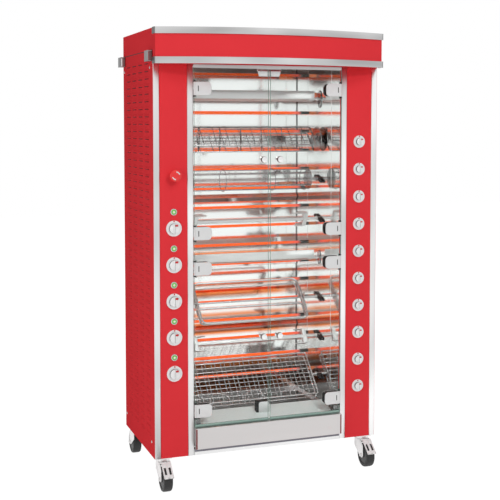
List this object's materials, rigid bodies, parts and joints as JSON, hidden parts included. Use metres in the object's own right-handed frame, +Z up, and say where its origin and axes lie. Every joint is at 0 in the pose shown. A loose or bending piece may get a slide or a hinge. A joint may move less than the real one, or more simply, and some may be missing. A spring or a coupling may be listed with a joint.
{
  "type": "vertical rotisserie oven",
  "caption": "Upright electric infrared rotisserie cabinet with stacked driven spits, a wall of heating tubes, glass double doors, a bowed canopy, drip tray and swivel casters.",
  "frame": {"origin": "middle of the base, at the floor under the wheels", "axes": "+Z up, +Y to the back, +X to the right when facing the doors"},
  "size_m": [1.015, 0.6937, 1.845],
  "materials": {
    "red_paint": "smooth gloss",
    "brushed_steel": "brushed lengthways",
    "polished_liner": "mirror polished",
    "heating_quartz": "glowing orange",
    "machine_grey": "cast",
    "polished_fittings": "polished",
    "door_glass": "clear with green edges",
    "lamp_lens": "gloss, lit green",
    "knob_silver": "satin silver",
    "stop_red": "gloss",
    "spit_steel": "polished",
    "wheel_black": "matte",
    "caster_zinc": "zinc plated"
  },
  "bodies": {
    "cabinet": {"base_frame": "brushed_steel", "left_side_panel": "red_paint", "right_side_panel": "red_paint", "back_panel": "brushed_steel", "roof_cap": "red_paint", "canopy_fascia": "red_paint", "canopy_trims": "brushed_steel", "column_trims": "brushed_steel", "control_panels": "red_paint", "cavity_liner": "polished_liner", "heating_tubes": "heating_quartz", "spit_motors": "machine_grey", "spit_bearings": "machine_grey", "door_frame_fittings": "polished_fittings", "indicator_lamps": "lamp_lens", "side_loops": "brushed_steel"},
    "upper_left_door": {"upper_left_glass": "door_glass", "upper_left_door_fittings": "polished_fittings"},
    "upper_right_door": {"upper_right_glass": "door_glass", "upper_right_door_fittings": "polished_fittings"},
    "lower_left_door": {"lower_left_glass": "door_glass", "lower_left_door_fittings": "polished_fittings"},
    "lower_right_door": {"lower_right_glass": "door_glass", "lower_right_door_fittings": "polished_fittings"},
    "spit_1_blade": {"spit_1_blade": "spit_steel"},
    "spit_2_basket": {"spit_2_basket": "spit_steel"},
    "spit_3_drum": {"spit_3_drum": "spit_steel"},
    "spit_4_fork": {"spit_4_fork": "spit_steel"},
    "spit_5_blade": {"spit_5_blade": "spit_steel"},
    "spit_6_cage": {"spit_6_cage": "spit_steel"},
    "spit_7_fork": {"spit_7_fork": "spit_steel"},
    "spit_8_basket": {"spit_8_basket": "spit_steel"},
    "zone_knob_1": {"zone_knob_1": "knob_silver"},
    "zone_knob_2": {"zone_knob_2": "knob_silver"},
    "zone_knob_3": {"zone_knob_3": "knob_silver"},
    "zone_knob_4": {"zone_knob_4": "knob_silver"},
    "zone_knob_5": {"zone_knob_5": "knob_silver"},
    "motor_knob_1": {"motor_knob_1": "knob_silver"},
    "motor_knob_2": {"motor_knob_2": "knob_silver"},
    "motor_knob_3": {"motor_knob_3": "knob_silver"},
    "motor_knob_4": {"motor_knob_4": "knob_silver"},
    "motor_knob_5": {"motor_knob_5": "knob_silver"},
    "motor_knob_6": {"motor_knob_6": "knob_silver"},
    "motor_knob_7": {"motor_knob_7": "knob_silver"},
    "motor_knob_8": {"motor_knob_8": "knob_silver"},
    "motor_knob_9": {"motor_knob_9": "knob_silver"},
    "motor_knob_10": {"motor_knob_10": "knob_silver"},
    "stop_button": {"stop_button": "stop_red"},
    "drip_tray": {"drip_tray": "brushed_steel"},
    "front_left_fork": {"front_left_fork": "caster_zinc"},
    "front_left_wheel": {"front_left_wheel": "wheel_black"},
    "front_left_brake": {"front_left_brake": "caster_zinc"},
    "front_right_fork": {"front_right_fork": "caster_zinc"},
    "front_right_wheel": {"front_right_wheel": "wheel_black"},
    "front_right_brake": {"front_right_brake": "caster_zinc"},
    "rear_left_fork": {"rear_left_fork": "caster_zinc"},
    "rear_left_wheel": {"rear_left_wheel": "wheel_black"},
    "rear_right_fork": {"rear_right_fork": "caster_zinc"},
    "rear_right_wheel": {"rear_right_wheel": "wheel_black"}
  },
  "joints": [
    {"name": "upper_left_door_hinge", "type": "hinge", "parent": "cabinet", "child": "upper_left_door", "pos_m": [-0.318, -0.217, 1.32], "axis": [0, 0, -1], "range_deg": [0, 110]},
    {"name": "upper_right_door_hinge", "type": "hinge", "parent": "cabinet", "child": "upper_right_door", "pos_m": [0.318, -0.217, 1.32], "axis": [0, 0, 1], "range_deg": [0, 110]},
    {"name": "lower_left_door_hinge", "type": "hinge", "parent": "cabinet", "child": "lower_left_door", "pos_m": [-0.318, -0.217, 0.6], "axis": [0, 0, -1], "range_deg": [0, 110]},
    {"name": "lower_right_door_hinge", "type": "hinge", "parent": "cabinet", "child": "lower_right_door", "pos_m": [0.318, -0.217, 0.6], "axis": [0, 0, 1], "range_deg": [0, 110]},
    {"name": "spit_1_blade_spin", "type": "hinge", "parent": "cabinet", "child": "spit_1_blade", "pos_m": [0, 0.007, 1.578], "axis": [1, 0, 0], "continuous": true},
    {"name": "spit_2_basket_spin", "type": "hinge", "parent": "cabinet", "child": "spit_2_basket", "pos_m": [0, 0.007, 1.404], "axis": [1, 0, 0], "continuous": true},
    {"name": "spit_3_drum_spin", "type": "hinge", "parent": "cabinet", "child": "spit_3_drum", "pos_m": [0, 0.007, 1.23], "axis": [1, 0, 0], "continuous": true},
    {"name": "spit_4_fork_spin", "type": "hinge", "parent": "cabinet", "child": "spit_4_fork", "pos_m": [0, 0.007, 1.056], "axis": [1, 0, 0], "continuous": true},
    {"name": "spit_5_blade_spin", "type": "hinge", "parent": "cabinet", "child": "spit_5_blade", "pos_m": [0, 0.007, 0.882], "axis": [1, 0, 0], "continuous": true},
    {"name": "spit_6_cage_spin", "type": "hinge", "parent": "cabinet", "child": "spit_6_cage", "pos_m": [0, 0.007, 0.708], "axis": [1, 0, 0], "continuous": true},
    {"name": "spit_7_fork_spin", "type": "hinge", "parent": "cabinet", "child": "spit_7_fork", "pos_m": [0, 0.007, 0.534], "axis": [1, 0, 0], "continuous": true},
    {"name": "spit_8_basket_spin", "type": "hinge", "parent": "cabinet", "child": "spit_8_basket", "pos_m": [0, 0.007, 0.36], "axis": [1, 0, 0], "continuous": true},
    {"name": "zone_knob_1_turn", "type": "hinge", "parent": "cabinet", "child": "zone_knob_1", "pos_m": [-0.405, -0.215, 0.4718], "axis": [0, 1, 0], "range_deg": [0, 270]},
    {"name": "zone_knob_2_turn", "type": "hinge", "parent": "cabinet", "child": "zone_knob_2", "pos_m": [-0.405, -0.215, 0.6178], "axis": [0, 1, 0], "range_deg": [0, 270]},
    {"name": "zone_knob_3_turn", "type": "hinge", "parent": "cabinet", "child": "zone_knob_3", "pos_m": [-0.405, -0.215, 0.7638], "axis": [0, 1, 0], "range_deg": [0, 270]},
    {"name": "zone_knob_4_turn", "type": "hinge", "parent": "cabinet", "child": "zone_knob_4", "pos_m": [-0.405, -0.215, 0.9098], "axis": [0, 1, 0], "range_deg": [0, 270]},
    {"name": "zone_knob_5_turn", "type": "hinge", "parent": "cabinet", "child": "zone_knob_5", "pos_m": [-0.405, -0.215, 1.0558], "axis": [0, 1, 0], "range_deg": [0, 270]},
    {"name": "motor_knob_1_turn", "type": "hinge", "parent": "cabinet", "child": "motor_knob_1", "pos_m": [0.405, -0.215, 0.3537], "axis": [0, 1, 0], "range_deg": [0, 90]},
    {"name": "motor_knob_2_turn", "type": "hinge", "parent": "cabinet", "child": "motor_knob_2", "pos_m": [0.405, -0.215, 0.46945], "axis": [0, 1, 0], "range_deg": [0, 90]},
    {"name": "motor_knob_3_turn", "type": "hinge", "parent": "cabinet", "child": "motor_knob_3", "pos_m": [0.405, -0.215, 0.5852], "axis": [0, 1, 0], "range_deg": [0, 90]},
    {"name": "motor_knob_4_turn", "type": "hinge", "parent": "cabinet", "child": "motor_knob_4", "pos_m": [0.405, -0.215, 0.70095], "axis": [0, 1, 0], "range_deg": [0, 90]},
    {"name": "motor_knob_5_turn", "type": "hinge", "parent": "cabinet", "child": "motor_knob_5", "pos_m": [0.405, -0.215, 0.8167], "axis": [0, 1, 0], "range_deg": [0, 90]},
    {"name": "motor_knob_6_turn", "type": "hinge", "parent": "cabinet", "child": "motor_knob_6", "pos_m": [0.405, -0.215, 0.93245], "axis": [0, 1, 0], "range_deg": [0, 90]},
    {"name": "motor_knob_7_turn", "type": "hinge", "parent": "cabinet", "child": "motor_knob_7", "pos_m": [0.405, -0.215, 1.0482], "axis": [0, 1, 0], "range_deg": [0, 90]},
    {"name": "motor_knob_8_turn", "type": "hinge", "parent": "cabinet", "child": "motor_knob_8", "pos_m": [0.405, -0.215, 1.16395], "axis": [0, 1, 0], "range_deg": [0, 90]},
    {"name": "motor_knob_9_turn", "type": "hinge", "parent": "cabinet", "child": "motor_knob_9", "pos_m": [0.405, -0.215, 1.2797], "axis": [0, 1, 0], "range_deg": [0, 90]},
    {"name": "motor_knob_10_turn", "type": "hinge", "parent": "cabinet", "child": "motor_knob_10", "pos_m": [0.405, -0.215, 1.39545], "axis": [0, 1, 0], "range_deg": [0, 90]},
    {"name": "stop_button_press", "type": "slide", "parent": "cabinet", "child": "stop_button", "axis": [0, 1, 0], "range_m": [0, 0.006], "stiffness_N_per_m": 1500, "springref_m": -0.002},
    {"name": "drip_tray_slide", "type": "slide", "parent": "cabinet", "child": "drip_tray", "axis": [0, -1, 0], "range_m": [0, 0.35]},
    {"name": "front_left_swivel", "type": "hinge", "parent": "cabinet", "child": "front_left_fork", "pos_m": [-0.4455, -0.182, 0.12], "axis": [0, 0, 1], "continuous": true},
    {"name": "front_left_roll", "type": "hinge", "parent": "front_left_fork", "child": "front_left_wheel", "pos_m": [-0.4455, -0.222, 0.05], "axis": [1, 0, 0], "continuous": true},
    {"name": "front_left_brake_tip", "type": "hinge", "parent": "front_left_fork", "child": "front_left_brake", "pos_m": [-0.4455, -0.208, 0.106], "axis": [-1, 0, 0], "range_deg": [0, 18]},
    {"name": "front_right_swivel", "type": "hinge", "parent": "cabinet", "child": "front_right_fork", "pos_m": [0.4455, -0.182, 0.12], "axis": [0, 0, 1], "continuous": true},
    {"name": "front_right_roll", "type": "hinge", "parent": "front_right_fork", "child": "front_right_wheel", "pos_m": [0.4455, -0.222, 0.05], "axis": [1, 0, 0], "continuous": true},
    {"name": "front_right_brake_tip", "type": "hinge", "parent": "front_right_fork", "child": "front_right_brake", "pos_m": [0.4455, -0.208, 0.106], "axis": [-1, 0, 0], "range_deg": [0, 18]},
    {"name": "rear_left_swivel", "type": "hinge", "parent": "cabinet", "child": "rear_left_fork", "pos_m": [-0.4455, 0.257, 0.12], "axis": [0, 0, 1], "continuous": true},
    {"name": "rear_left_roll", "type": "hinge", "parent": "rear_left_fork", "child": "rear_left_wheel", "pos_m": [-0.4455, 0.297, 0.05], "axis": [1, 0, 0], "continuous": true},
    {"name": "rear_right_swivel", "type": "hinge", "parent": "cabinet", "child": "rear_right_fork", "pos_m": [0.4455, 0.257, 0.12], "axis": [0, 0, 1], "continuous": true},
    {"name": "rear_right_roll", "type": "hinge", "parent": "rear_right_fork", "child": "rear_right_wheel", "pos_m": [0.4455, 0.297, 0.05], "axis": [1, 0, 0], "continuous": true}
  ]
}
